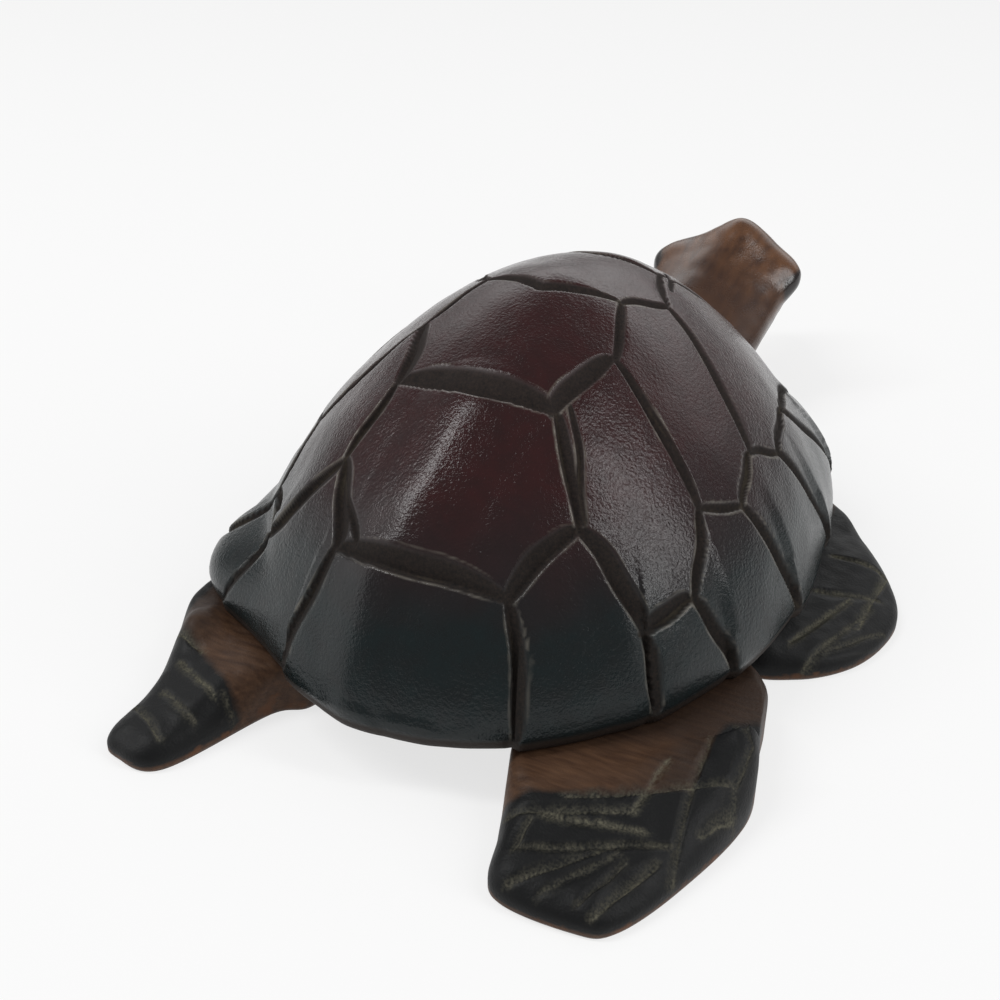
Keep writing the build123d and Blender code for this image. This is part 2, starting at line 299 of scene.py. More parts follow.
# %% Mesh helpers
def ring_faces(count, turns):
    """Faces of a grid of rings with a pole before the first and one after the last."""
    step = np.arange(turns)
    after = (step + 1) % turns
    faces = []
    for ring in range(count - 1):
        low = 1 + ring * turns
        high = low + turns
        faces += np.stack([low + step, high + step, high + after, low + after], 1).tolist()
    end = 1 + count * turns
    last = end - turns
    faces += np.stack([0 * step, 1 + step, 1 + after], 1).tolist()
    faces += np.stack([0 * step + end, last + after, last + step], 1).tolist()
    return faces


def painted_mesh(name, points, faces, paint):
    """A smooth mesh from points in millimetres, with a painted value for each point."""
    mesh = bpy.data.meshes.new(name)
    mesh.from_pydata(to_frame(points), [], faces)
    mesh.polygons.foreach_set("use_smooth", np.ones(len(mesh.polygons), bool))
    for label, values in paint.items():
        mesh.attributes.new(label, "FLOAT", "POINT").data.foreach_set("value", values)
    piece = bpy.data.objects.new(name, mesh)
    bpy.context.scene.collection.objects.link(piece)
    print(name, "has", sum(len(face) - 2 for face in faces), "triangles")
    return piece


def ring_mesh(name, rings, first_pole, last_pole, paint):
    """A closed mesh from rings of points and a pole at each end, with its painted values."""
    points = np.concatenate([[first_pole], rings.reshape(-1, 3), [last_pole]])
    spread = {}
    for label, values in paint.items():
        spread[label] = np.concatenate([[values[0].mean()], values.reshape(-1), [values[-1].mean()]])
    return painted_mesh(name, points, ring_faces(*rings.shape[:2]), spread)


def unevenness(points, size, seed):
    """A slow random waviness between about -1 and 1, with waves of about this length in millimetres."""
    dice = np.random.default_rng(seed)
    total = np.zeros(points.shape[:-1])
    for _ in range(18):
        direction = dice.normal(size=3)
        direction *= 2 * np.pi / (size * dice.uniform(0.7, 1.6) * np.linalg.norm(direction))
        total += np.cos(points @ direction + dice.uniform(0, 2 * np.pi))
    return total / 6


def smoothstep(low, high, value):
    """An S-shaped climb from 0 at the low value to 1 at the high one."""
    share = np.clip((value - low) / (high - low), 0, 1)
    return share * share * (3 - 2 * share)


def bell(distance, spread):
    """1 at no distance, fading to almost nothing at twice the spread."""
    return np.exp(-((distance / spread) ** 2))


def unit(vectors):
    """The same directions with a length of 1."""
    return vectors / np.linalg.norm(vectors, axis=-1, keepdims=True)


def along_stroke(points, stroke, ups):
    """How far along a stroke each point lies, from 0 to 1, and its distance, positive on the left."""
    stroke = np.asarray(stroke, float)
    lengths = np.linalg.norm(np.diff(stroke, axis=0), axis=1)
    run = np.zeros(points.shape[:-1])
    side = np.full(points.shape[:-1], 1e3)
    done = 0.0
    for first, last, length in zip(stroke[:-1], stroke[1:], lengths):
        ahead = (last - first) / length
        up = unit(ups(first) + ups(last))
        left = unit(np.cross(up, ahead))
        away = points - first
        reach = np.clip(away @ ahead, 0, length)
        across = away - reach[..., None] * ahead
        rise = np.clip(np.abs(across @ up) - 0.12 * length, 0, None)
        flat = across - (across @ up)[..., None] * up
        gap = np.hypot(np.linalg.norm(flat, axis=-1), rise) * np.where(across @ left < 0, -1, 1)
        nearer = np.abs(gap) < np.abs(side)
        side = np.where(nearer, gap, side)
        run = np.where(nearer, (done + reach) / lengths.sum(), run)
        done += length
    return run, side


def knife_cut(run, lean, gentle, steep, depth, tail=0.3, fine=1.0):
    """A lens-shaped cut: a gentle slope into it on one side, and a steep wall where lean is positive.

    The tail is the share of the cut that is left at its ends, and fine scales its thin painted lines.
    """
    swell = tail + (1 - tail) * np.sqrt(np.clip(4 * run * (1 - run), 0, 1))
    width = gentle * swell + 0.05
    wall = np.clip(np.where(lean > 0, 1 - lean / steep, 1 + lean / width), 0, 1)
    upper = bell(lean + width + 0.05, 0.15 * fine) * swell
    lower = bell(lean - steep - 0.1, 0.19 * fine)
    # The pale edge lines stand for wear and a painted highlight; the cut mask later carries painted shade.
    marks = {
        "cut": np.clip(4 * wall, 0, 1),
        "dust_and_shade": bell(lean, 0.24 * fine),
        "wear_and_highlight": np.maximum(0.8 * upper, lower),
    }
    return depth * swell * wall, marks


print("carving helpers ready")

# %% [markdown]
# ## The shell: a dome
# The shell is one block of wood, rounded like a helmet. Its plan is an ellipse, and its profile is a
# superellipse, a curve between a straight roof and a half circle. A point on it is given by two shares:
# how far out it is across and along, from 0 at the top to 1 at the rim.

# %% Dome formulas
def dome(across, along):
    """The point of the dome at two shares."""
    share = np.minimum(np.hypot(across, along), 1.0)
    high = RIM_HEIGHT + RISE * (1 - share**FULLNESS) ** (1 / FULLNESS)
    return np.stack([across * HALF_WIDTH, along * HALF_LENGTH, high], -1)


def shares_of(points):
    """How far out points are, across and along."""
    return points[..., 0] / HALF_WIDTH, points[..., 1] / HALF_LENGTH


def dome_up(point):
    """The direction straight out of the dome at a point of it."""
    across, along = shares_of(point)
    share = np.maximum(np.hypot(across, along), 1e-6)
    high = np.clip((point[..., 2] - RIM_HEIGHT) / RISE, 0, 1)
    flare = share ** (FULLNESS - 2)
    out = [across * flare / HALF_WIDTH, along * flare / HALF_LENGTH, high ** (FULLNESS - 1) / RISE]
    return unit(np.stack(out, -1))


print("top of the shell", dome(0.0, 0.0).round(2))

# %% [markdown]
# ## The shell: its plates
# A turtle's shell is covered by plates: a row over the spine, one row down each side and small ones
# around the rim. The carver drew them as straight lines from corner to corner. The corners are shares of
# the half width and half length. The left side mirrors the right, apart from a few corners.

# %% Corners and plates
CORNERS = {
    "tail_top": (0.315, -0.79), "rear_spine_side": (0.43, -0.605), "rear_spine_top": (0.25, -0.43),
    "rear_hip": (0.674, -0.638), "mid_spine_rear": (0.328, -0.211), "mid_spine_front": (0.249, -0.016),
    "rear_flank": (0.702, -0.342), "rear_flank_low": (0.764, -0.493), "front_spine_side": (0.355, 0.12),
    "mid_flank": (0.751, -0.06), "mid_flank_low": (0.796, -0.211), "front_flank": (0.741, 0.276),
    "front_flank_low": (0.806, 0.072), "front_spine_top": (0.25, 0.27), "shoulder": (0.66, 0.53),
    "neck_side": (0.42, 0.50), "neck_top": (0.30, 0.78),
}
LEFT_CORNERS = {
    "tail_top": (-0.285, -0.787), "rear_spine_side": (-0.405, -0.59), "rear_spine_top": (-0.325, -0.415),
    "mid_spine_rear": (-0.385, -0.19),
}
RIM_FEET = {
    "tail_top": -65.5, "rear_hip": -42.6, "rear_flank_low": -26.1, "mid_flank_low": -6.7,
    "front_flank_low": 14.3, "front_flank": 36.0, "shoulder": 54.0, "neck_top": 71.0,
}
SIDE_PLATES = [
    "rear_spine_top mid_spine_rear rear_flank rear_flank_low rear_hip rear_spine_side",
    "mid_spine_rear mid_spine_front front_spine_side mid_flank mid_flank_low rear_flank",
    "front_spine_side front_spine_top neck_side shoulder front_flank front_flank_low mid_flank",
]
SPINE_PLATES = [
    "tail_top rear_spine_side rear_spine_top", "rear_spine_top mid_spine_rear mid_spine_front",
    "mid_spine_front front_spine_side front_spine_top", "front_spine_top neck_side neck_top",
]
RIM_PLATES = [
    "tail_top rear_spine_side rear_hip", "rear_hip rear_flank_low", "rear_flank_low rear_flank mid_flank_low",
    "mid_flank_low mid_flank front_flank_low", "front_flank_low front_flank", "front_flank shoulder",
    "shoulder neck_side neck_top",
]
RIGHT, LEFT = 1, -1


def corner(name, hand):
    """A corner of the plates as shares, on the right or the left side."""
    across, along = CORNERS[name]
    return LEFT_CORNERS.get(name, (-across, along)) if hand == LEFT else (across, along)


def rim_share(degrees, hand=RIGHT):
    """A place on the rim as shares, by its angle."""
    return (hand * math.cos(math.radians(degrees)), math.sin(math.radians(degrees)))


def plate_rings():
    """The outline of each plate as shares, on both sides of the spine."""
    rings = []
    for hand in (RIGHT, LEFT):
        rings += [[corner(name, hand) for name in row.split()] for row in SIDE_PLATES]
        for row in RIM_PLATES:
            names = row.split()
            feet = np.linspace(RIM_FEET[names[-1]], RIM_FEET[names[0]], 5)
            rings.append([corner(name, hand) for name in names] + [rim_share(foot, hand) for foot in feet])
    for row in SPINE_PLATES:
        names = row.split()
        rings.append([corner(name, RIGHT) for name in names])
        rings[-1] += [corner(name, LEFT) for name in reversed(names)]
    for name, straight in (("tail_top", -90), ("neck_top", 90)):
        turn = RIM_FEET[name] - straight
        feet = np.linspace(straight - turn, straight + turn, 5)
        rings.append([corner(name, RIGHT), corner(name, LEFT)] + [rim_share(foot) for foot in feet])
    return rings


plates = plate_rings()
print(len(plates), "plates")

# %% [markdown]
# ## The shell: its cuts
# Every line between two plates is one long knife cut, deepest in the middle. The knife went in steeply
# along the edge of the lower plate and came out in a long slope on the upper one, so one side of each
# line is a sharp edge that rubs pale and gets a painted highlight, and the other is a flat facet painted
# dark as shade. A few lines were cut twice.
# Some plates are also bent along a soft ridge, where two strokes of the plane met.

# %% Lines between the plates
# Place on the spine, width and depth.
SPINE_CROSSINGS = {
    "tail_top": (-0.825, 3.0, 1.1), "rear_spine_top": (-0.458, 3.9, 1.3),
    "mid_spine_front": (-0.103, 1.5, 0.8), "front_spine_top": (0.25, 1.3, 0.8),
    "neck_top": (0.80, 1.4, 0.8),
}
# Both ends, width and depth.
SIDE_LINES = [
    ("tail_top", "rear_spine_side", 2.4, 1.1), ("rear_spine_side", "rear_spine_top", 1.5, 0.9),
    ("rear_spine_side", "rear_hip", 2.4, 1.1), ("rear_spine_top", "mid_spine_rear", 2.6, 1.0),
    ("mid_spine_rear", "rear_flank", 1.3, 0.8), ("rear_flank", "rear_flank_low", 1.3, 0.8),
    ("rear_flank_low", "rear_hip", 2.2, 1.0), ("mid_spine_rear", "mid_spine_front", 1.1, 0.7),
    ("mid_spine_front", "front_spine_side", 1.1, 0.6), ("front_spine_side", "mid_flank", 1.6, 0.8),
    ("mid_flank", "mid_flank_low", 1.3, 0.7), ("mid_flank_low", "rear_flank", 0.9, 0.6),
    ("front_spine_side", "front_spine_top", 1.1, 0.6), ("front_spine_top", "neck_side", 1.3, 0.7),
    ("neck_side", "shoulder", 1.5, 0.8), ("shoulder", "front_flank", 1.4, 0.7),
    ("front_flank", "front_flank_low", 1.4, 0.7), ("front_flank_low", "mid_flank", 0.9, 0.6),
    ("neck_side", "neck_top", 1.4, 0.7),
]
FOOT_LINE = (1.7, 0.95)
SECOND_LINES = [
    ((0.286, -0.393), (0.444, -0.586), 0.6, 0.5), ((0.378, -0.212), (0.683, -0.323), 0.5, 0.4),
    ((0.238, 0.379), (0.322, 0.227), 0.8, 0.6), ((-0.365, -0.645), (-0.205, -0.788), 1.0, 0.7),
]
# Line, half width and height.
RIDGES = [
    ([(-0.012, -0.49), (-0.059, -0.774)], 7.5, 1.1), ([(-0.125, -0.84), (-0.104, -0.99)], 5.0, 0.7),
    ([(0.51, -0.612), (0.655, -0.668), (0.71, -0.705)], 3.5, 0.5),
]


def shell_lines():
    """Every cut as a row of shares with the width of its slope and its depth."""
    lines = []
    for name, (middle, width, depth) in SPINE_CROSSINGS.items():
        lines.append(([corner(name, LEFT), (0.0, middle), corner(name, RIGHT)], width, depth))
    for hand in (RIGHT, LEFT):
        for first, last, width, depth in SIDE_LINES:
            lines.append(([corner(first, hand), corner(last, hand)], width, depth))
        for name, foot in RIM_FEET.items():
            lines.append(([corner(name, hand), rim_share(foot, hand)], *FOOT_LINE))
    lines += [([first, last], width, depth) for first, last, width, depth in SECOND_LINES]
    return lines


cuts = shell_lines()
print(len(cuts), "lines on the shell")

# %% [markdown]
# ## The shell: a mesh that is fine where the knife went
# A knife cut is only a fraction of a millimetre sharp, and a mesh that fine all over would be far too
# heavy. So the dome starts as a coarse grid, and only the faces near a cut are divided, twice. New
# points lie on the flat of the old faces, so each is pushed back out onto the dome.

# %% Fine mesh along the cuts
TURNS = 300
DOME_RINGS = 66
LIP_RINGS = 5
UNDER_SHARES = (0.975, 0.95, 0.915, 0.7, 0.5, 0.3, 0.1)
FINE_BANDS = (2.4, 1.05)


def onto_dome(points):
    """Points near the dome, pushed straight out from its centre onto it."""
    across, along = shares_of(points)
    high = np.clip((points[:, 2] - RIM_HEIGHT) / RISE, 0, None)
    scale = (np.hypot(across, along) ** FULLNESS + high**FULLNESS) ** (1 / FULLNESS)
    moved = points.copy()
    moved[:, :2] /= scale[:, None]
    moved[:, 2] = RIM_HEIGHT + RISE * high / scale
    return moved


def steep_on_left(stroke):
    """1 where the steep wall is on the left of a line, seen from outside, and -1 where on the right."""
    middle = (stroke[0] + stroke[-1]) / 2
    clockwise = unit(np.array([middle[1], -middle[0], 0.0]) + 1e-9)
    left = np.cross(dome_up(onto_dome(middle[None])[0]), stroke[-1] - stroke[0])
    return 1 if left @ (0.6 * clockwise - [0, 0, 1]) > 0 else -1


def upper_edge(stroke, width):
    """Points along the edge where a wide cut's slope starts, on the side away from its steep wall."""
    whole = np.concatenate([np.linspace(first, last, 60) for first, last in zip(stroke[:-1], stroke[1:])])
    run = np.linspace(0, 1, len(whole))[:, None]
    ahead = unit(np.gradient(whole, axis=0))
    left = unit(np.cross(dome_up(onto_dome(whole)), ahead))
    return onto_dome(whole - steep_on_left(stroke) * width * np.sqrt(4 * run * (1 - run)) * left)


def cut_finder():
    """A search tree of points along every cut."""
    spots = []
    for shares, width, _ in cuts:
        for first, last in zip(shares[:-1], shares[1:]):
            part = np.linspace(0, 1, 60)[:, None]
            spots.append(onto_dome(dome(*np.array(first)) * (1 - part) + dome(*np.array(last)) * part))
        if width > 2:
            spots.append(upper_edge(dome(*np.array(shares).T), width))
    spots = np.concatenate(spots)
    tree = kdtree.KDTree(len(spots))
    for number, spot in enumerate(spots):
        tree.insert(spot, number)
    tree.balance()
    return tree


def coarse_dome():
    """The dome's coarse grid with its lip and underside, as points and faces."""
    turn = np.linspace(0, 2 * np.pi, TURNS, endpoint=False)
    slope = np.linspace(0, np.pi / 2, DOME_RINGS + 1)[1:, None]
    share = np.sin(slope) ** (2 / FULLNESS)
    rings = np.stack([
        HALF_WIDTH * share * np.cos(turn),
        HALF_LENGTH * share * np.sin(turn),
        RIM_HEIGHT + RISE * np.clip(np.cos(slope), 0, 1) ** (2 / FULLNESS) + 0 * turn,
    ], -1)
    closing = np.repeat(rings[-1:], LIP_RINGS + len(UNDER_SHARES), 0)
    rings = np.concatenate([rings, closing])
    summit = [0, 0, RIM_HEIGHT + RISE]
    under = [0, 0, RIM_HEIGHT - LIP_HEIGHT]
    points = np.concatenate([[summit], rings.reshape(-1, 3), [under]])
    return points, ring_faces(*rings.shape[:2])


def refined_dome():
    """The coarse dome divided near the cuts. Points added on the way come last."""
    points, faces = coarse_dome()
    finder = cut_finder()
    work = bmesh.new()
    for point in points:
        work.verts.new(point)
    work.verts.ensure_lookup_table()
    for face in faces:
        work.faces.new([work.verts[number] for number in face])
    dome_points = 1 + TURNS * DOME_RINGS
    for band in FINE_BANDS:
        work.verts.index_update()
        near = []
        for edge in work.edges:
            first, last = edge.verts
            on_dome = all(v.index < dome_points or v.index >= len(points) for v in edge.verts)
            if on_dome and finder.find((first.co + last.co) / 2)[2] < band:
                near.append(edge)
        bmesh.ops.subdivide_edges(work, edges=near, cuts=1, use_grid_fill=True)
    bmesh.ops.triangulate(work, faces=[face for face in work.faces if len(face.verts) > 4])
    work.verts.index_update()
    fine = np.array([vert.co for vert in work.verts])
    polygons = [[vert.index for vert in face.verts] for face in work.faces]
    work.free()
    on_dome = np.ones(len(fine), bool)
    on_dome[dome_points:len(points)] = False
    fine[on_dome] = onto_dome(fine[on_dome])
    return fine, polygons, on_dome


fine_points, fine_faces, on_dome = refined_dome()
print("fine dome has", len(fine_points), "points and", len(fine_faces), "faces")

# %% [markdown]
# ## The shell: putting it together
# The dome is flattened a little towards the plane of each plate, roughened by a slow waviness and then
# cut. The block was rounded by eye, so it swells in a few places, and its rim arches over the neck. Each
# rim plate starts a little proud of the one before, like a shingle. A rounded lip closes the rim below.

# %% Carving the shell
FLATTENING = 0.12
STEEP_WALL = 0.4
SPINE_TAIL = 0.05
SIDE_TAIL = 0.3
# Height, spread in degrees, and the share where it begins.
NECK_ARCH = (9.0, 21.0, 0.55)
# Angle, growth, spread in degrees, and the share where each begins.
RIM_SWELLS = [(213.0, 0.15, 14.0, 0.94), (40.0, 0.07, 17.0, 0.8)]
FULL_PLACE = (5.5, 19.0)
FULL_RADIUS = 12.0
FULL_HEIGHT = 1.8
SHINGLE_STEP = 0.7


def inside(ring, across, along):
    """Which shares lie inside a plate's outline, by counting the sides that a line from each crosses."""
    result = np.zeros(across.shape, bool)
    for (x0, y0), (x1, y1) in zip(ring, ring[1:] + ring[:1]):
        straddles = (y0 > along) != (y1 > along)
        safe = (y1 - y0) or 1e-9
        result ^= straddles & (across < (x1 - x0) * (along - y0) / safe + x0)
    return result


def carve_dome(points):
    """Moves the dome's points in or out along its normals, and returns the painted values."""
    across, along = shares_of(points)
    ups = dome_up(points)
    shift = 0.10 * unevenness(points, 11, 3) + 0.03 * unevenness(points, 4, 4)
    for ring in plates:
        corners = dome(*np.array(ring).T)
        centre = corners.mean(0)
        plate_up = np.linalg.svd(corners - centre)[2][2]
        plate_up *= np.sign(plate_up @ dome_up(centre))
        held = inside(ring, across, along)
        shift = np.where(held, shift - FLATTENING * ((points - centre) @ plate_up), shift)
    for shares, width, high in RIDGES:
        _, side = along_stroke(points, dome(*np.array(shares).T), dome_up)
        shift += high * np.clip(1 - np.hypot(side, 0.7) / width, 0, None)
    paint = {label: np.zeros(len(points)) for label in ("cut", "dust_and_shade", "wear_and_highlight")}
    depth = np.zeros(len(points))
    dice = np.random.default_rng(8)
    for shares, width, deep in cuts:
        stroke = dome(*np.array(shares).T)
        run, side = along_stroke(points, stroke, dome_up)
        wobble = 0.16 * np.sin(2 * np.pi * (dice.uniform(0.8, 1.6) * run + dice.uniform()))
        lean = (side + wobble) * steep_on_left(stroke)
        tail = SPINE_TAIL if len(shares) > 2 else SIDE_TAIL
        groove, marks = knife_cut(run, lean, width, STEEP_WALL, deep, tail)
        depth = np.maximum(depth, groove)
        for label, values in marks.items():
            paint[label] = np.maximum(paint[label], values)
    paint["wear_and_highlight"] *= 1 - np.clip(depth / 0.35, 0, 1)
    return points + (shift - depth)[:, None] * ups, paint


def shingled(share, turn):
    """How far each rim plate stands out, from its start to its end around the rim."""
    right_feet = [foot % 360 for foot in RIM_FEET.values()]
    left_feet = [(180 - foot) % 360 for foot in RIM_FEET.values()]
    feet = np.array(sorted(right_feet + left_feet))
    feet = np.concatenate([[feet[-1] - 360], feet, [feet[0] + 360]])
    place = np.searchsorted(feet, turn, side="right") - 1
    part = (turn - feet[place]) / (feet[place + 1] - feet[place])
    return SHINGLE_STEP * (0.5 - part) * smoothstep(0.78, 0.98, share)


def warp_shell(points, share, turn):
    """Swells the block in a few places and bends its rim up over the neck."""
    grow = np.ones(len(points))
    for degrees, amount, spread, begins in RIM_SWELLS:
        grow += amount * bell(turn - degrees, spread) * smoothstep(begins, 1.0, share)
    reach = np.hypot(points[:, 0], points[:, 1])
    grow += shingled(share, turn) / np.maximum(reach, 1)
    arch, spread, begins = NECK_ARCH
    lift = arch * bell(turn - 90, spread) * smoothstep(begins, 1.0, share)
    lift += FULL_HEIGHT * bell(np.hypot(*(points[:, :2] - FULL_PLACE).T), FULL_RADIUS)
    moved = points * np.stack([grow, grow, np.ones(len(points))], -1)
    moved[:, 2] += lift
    return moved


def close_shell(points):
    """Rolls the closing rings of the grid under the rim: a rounded lip, then the flat underside."""
    rim_start = 1 + TURNS * (DOME_RINGS - 1)
    rim = points[rim_start:rim_start + TURNS]
    turn = np.linspace(0, 2 * np.pi, TURNS, endpoint=False)
    outward = unit(np.stack([np.cos(turn) / HALF_WIDTH, np.sin(turn) / HALF_LENGTH, 0 * turn], -1))
    rings = []
    for bend in np.linspace(0, np.pi / 2, LIP_RINGS + 1)[1:]:
        inward = LIP_INSET * (1 - math.cos(bend))
        rings.append(rim - inward * outward - [0, 0, LIP_HEIGHT * math.sin(bend)])
    edge = rings[-1]
    middle = np.array([0, 0, RIM_HEIGHT - LIP_HEIGHT])
    for part in UNDER_SHARES:
        ring = middle + (edge - middle) * part
        ring[:, 2] = middle[2] + (edge[:, 2] - middle[2]) * smoothstep(0.915, 1.0, part)
        rings.append(ring)
    return np.concatenate(rings)


def make_shell():
    """The carved shell as one closed piece."""
    points = fine_points.copy()
    across, along = shares_of(points)
    share = np.hypot(across, along)
    turn = np.degrees(np.arctan2(along, across)) % 360
    points[on_dome], carved_paint = carve_dome(points[on_dome])
    points[on_dome] = warp_shell(points[on_dome], share[on_dome], turn[on_dome])
    closing = np.flatnonzero(~on_dome)
    points[closing[:-1]] = close_shell(points)
    paint = {"lip": np.where(on_dome, 0.0, 1.0)}
    for label, values in carved_paint.items():
        paint[label] = np.zeros(len(points))
        paint[label][on_dome] = values
    return painted_mesh("carved_shell", points, fine_faces, paint)


shell = make_shell()
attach(shell, "root")
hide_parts("carapace")

# %% [markdown]
# ## Lacquer on the shell
# The wood was stained a deep burgundy on top and green-black towards the rim, sprayed so that one fades
# into the other, and then lacquered to a satin shine. Pores in the wood show through the lacquer as fine
# pits. The cuts are matt and painted nearly black as shade, with a little dust. Handling has rubbed their
# edges pale, and a painted highlight runs along them. The lip under the rim gets painted shade.

# %% Shell lacquer
shell_lacquer, start = new_finish("shell_lacquer")
height = start.height()
clouds = start.speckle(9, 3)
mottle = start.speckle(2.2, 4)
grit = start.speckle(0.42, 2)
fine = start.speckle(0.2, 2)
cut = start.painted("cut")
fade = (height + 9 * (clouds - 0.5)).over(32, 19)
stain = fade.mix(colour(0.029, 0.0072, 0.0076), colour(0.0060, 0.0112, 0.0122))
stain = (mottle.over(0.35, 0.75) * 0.4).mix(stain, colour(0.007, 0.005, 0.005))
# Painted shade: the cut facets are a speckled near-black that stands for the shade inside the cuts.
speckled = (0.5 * fine + 0.5 * grit).over(0.35, 0.7)
shaded_facets = speckled.mix(colour(0.005, 0.004, 0.0035), colour(0.024, 0.016, 0.012))
stain = (cut * 0.9).mix(stain, shaded_facets)
# Pale cut edges: wear, with a painted highlight where the edge catches light.
edges = (start.painted("wear_and_highlight") * mottle.over(0.2, 0.6) * clouds.over(0.32, 0.58)).over(0.1, 0.9) * 0.7
stain = edges.mix(stain, colour(0.170, 0.155, 0.130))
dusty = (start.painted("dust_and_shade") * clouds.over(0.4, 0.7) * (0.4 + grit)).over(0.2, 0.95)
stain = (dusty * 0.6).mix(stain, colour(0.070, 0.060, 0.042))
# Painted shade: the lip under the rim is darkened brown.
stain = start.painted("lip").mix(stain, colour(0.016, 0.010, 0.007))
gloss = 0.14 + 0.06 * mottle.over(0.3, 0.8) + 0.06 * fade + 0.4 * dusty + 0.7 * cut
gloss = gloss + 0.45 * start.painted("lip")
relief = (grit + 0.5 * fine + 0.2 * mottle) * cut.over(1.3, 0)
surface(start, stain, gloss, relief, 0.065, {"Specular IOR Level": 0.33})
shell.data.materials.append(shell_lacquer)
print("shell lacquered")

# %% [markdown]
# ## Flippers
# Each flipper is a paddle of wood: a blocky leg under the shell slopes down to a thin tip with a rounded
# upper edge and a flat sole. The carver scored the tops with crossing knife lines to suggest scales. The
# outlines and lines are given for the right side of the turtle, seen from above, in millimetres.

# %% Flipper outlines and lines
REAR_RIGHT = [
    (12.5, -21), (12.7, -37), (15.0, -45.5), (16.9, -51.8), (19.4, -58.2), (28.7, -58.9), (32.8, -57),
    (36.8, -48.7), (40.2, -36.5), (38.6, -27), (36.6, -18.2), (30, -15),
]
REAR_LEFT = [
    (14, -21), (14, -38.5), (18.2, -43.5), (24, -57.3), (30, -58.2), (32.6, -55.8), (32.6, -47),
    (36.8, -33.3), (34.5, -22.8), (28, -19),
]
FRONT = [
    (17, 18), (26, 6), (31, -9.5), (38.5, -8.7), (45, -2.2), (47.5, 7.5), (44.3, 16), (36, 24.5),
    (29.5, 29.5), (20, 30),
]
REAR_RIGHT_LINES = [
    [(17.9, -51), (30.3, -45.3)], [(21.4, -49.6), (31.7, -46.8)], [(20.4, -54.2), (35, -46.8)],
    [(20.3, -54.6), (20.4, -50.7)], [(22.7, -46.8), (29.2, -43.3), (38.6, -37)],
    [(30.8, -37.5), (29.8, -45.3)], [(34.1, -31.6), (34.7, -39.4), (35.5, -46.4), (36.8, -52.8)],
    [(21.3, -58.1), (28.6, -51.1)], [(24.3, -57.9), (30.3, -50.5)], [(30.6, -58), (34.4, -49.8)],
    [(28.7, -57.5), (31.5, -51.3)], [(36.1, -28.6), (38.9, -31.7), (38.7, -37.4)],
    [(38.7, -37.4), (40.4, -41.8)], [(37.2, -44), (39.4, -39.5)],
]
REAR_LEFT_LINES = [
    [(28.5, -49.9), (22.8, -52.1)], [(29.2, -45.6), (22.3, -48.5)], [(21.4, -47.7), (19.3, -48.6)],
    [(31.5, -52.5), (25.0, -56.0)], [(32.5, -42.0), (27.5, -43.6)],
]
FRONT_LINES = [
    [(36.5, -6.8), (41.3, 5.4)], [(38.6, -9.4), (44.1, 5.2)], [(35, 3.1), (44.8, 8)],
    [(40.5, -5.5), (46.5, 3)], [(37, 12), (46, 14)], [(43.6, 1), (44.6, 14)],
]
print(len(REAR_RIGHT_LINES), "lines on the rear right flipper")

# %% [markdown]
# ## Flippers: the paddles
# A paddle's rings run from its middle out to its outline, over the edge and back under the sole. One
# formula for the height of the top shapes all four.

# %% Flipper shapes
FLIPPER_TURNS = 360
FLIPPER_RINGS = 64
ROOT_TOP = 7.0
TIP_TOP = 3.4
LEG_EDGE = 4.8
TIP_EDGE = 1.2
LEG_ROUND = 1.8
TIP_ROUND = 3.6
LEAST_TOP = 0.5
# Where the stain turns black and where the shade under the rim ends, from the start of the slope.
BLACK_FROM = (3, 6)
SHADE_TO = (1, -5)
# Where the outer side turns black and where painted shade darkens it, from the middle of the turtle.
OUTER_BLACK = (33.5, 35.5)
OUTER_SHADE = (26, 33)
# Share of the outline, and height.
SOLE_RINGS = [(1.0, 0.5), (0.985, 0.0), (0.7, 0.0), (0.35, 0.0)]
REAR_DOWEL = (23, -27.3)
FRONT_DOWEL = (23, 24.3)
# Direction in degrees, and start and end in millimetres from the dowel.
REAR_SLOPE = (-63, 12, 31)
FRONT_SLOPE = (-20, 13, 30)


def closed_curve(corners, count):
    """A smooth closed curve through a few corners."""
    corners = np.array(corners, float)
    where = np.linspace(0, len(corners), count, endpoint=False)
    step = where.astype(int)
    part = (where - step)[:, None]
    before, first, last, after = (corners[(step + shift) % len(corners)] for shift in (-1, 0, 1, 2))
    bend = 2 * before - 5 * first + 4 * last - after
    twist = 3 * (first - last) + after - before
    return first + 0.5 * part * (last - before + part * (bend + part * twist))


def flipper_top(plan, inset, reach, slope, knuckle):
    """The height of the top: a blocky leg, a slope and a thin tip, with a rounded edge."""
    _, begins, ends = slope
    top = ROOT_TOP - (ROOT_TOP - TIP_TOP) * smoothstep(begins, ends, reach)
    spot, size, bulge = knuckle
    top = top + bulge * np.exp(-(((plan - spot) / size) ** 2).sum(-1))
    leg = smoothstep(begins + 5, begins - 1, reach)
    edge = TIP_EDGE + (LEG_EDGE - TIP_EDGE) * leg
    radius = TIP_ROUND + (LEG_ROUND - TIP_ROUND) * leg
    rounding = np.sqrt(1 - (1 - np.clip(inset / radius, 0, 1)) ** 2)
    return edge + (top - edge) * rounding


def under_sole(rim, middle):
    """The rings from the edge to the middle of the flat sole."""
    rings = []
    for part, low in SOLE_RINGS:
        heights = np.full((FLIPPER_TURNS, 1), low)
        rings.append(np.concatenate([middle + part * (rim - middle), heights], 1))
    return np.array(rings)


print("a leg is", ROOT_TOP, "mm high and a tip", TIP_TOP, "mm")

# %% [markdown]
# ## Flippers: the knife lines
# These are the shell's cuts again, only smaller. Each leans to a random side, and its dust is smudged.

# %% Knife lines on a flipper
SCORE_WIDTHS = (0.7, 1.4)
SCORE_DEPTHS = (0.35, 0.6)
SCORE_WALL = 0.25
SCORE_TAIL = 0.4
SCORE_FINENESS = 0.8
DUST_AMOUNTS = (0.5, 1.2)


def flat_up(point):
    """Straight up at every point, for lines that are drawn on the flat."""
    return np.array([0.0, 0.0, 1.0])


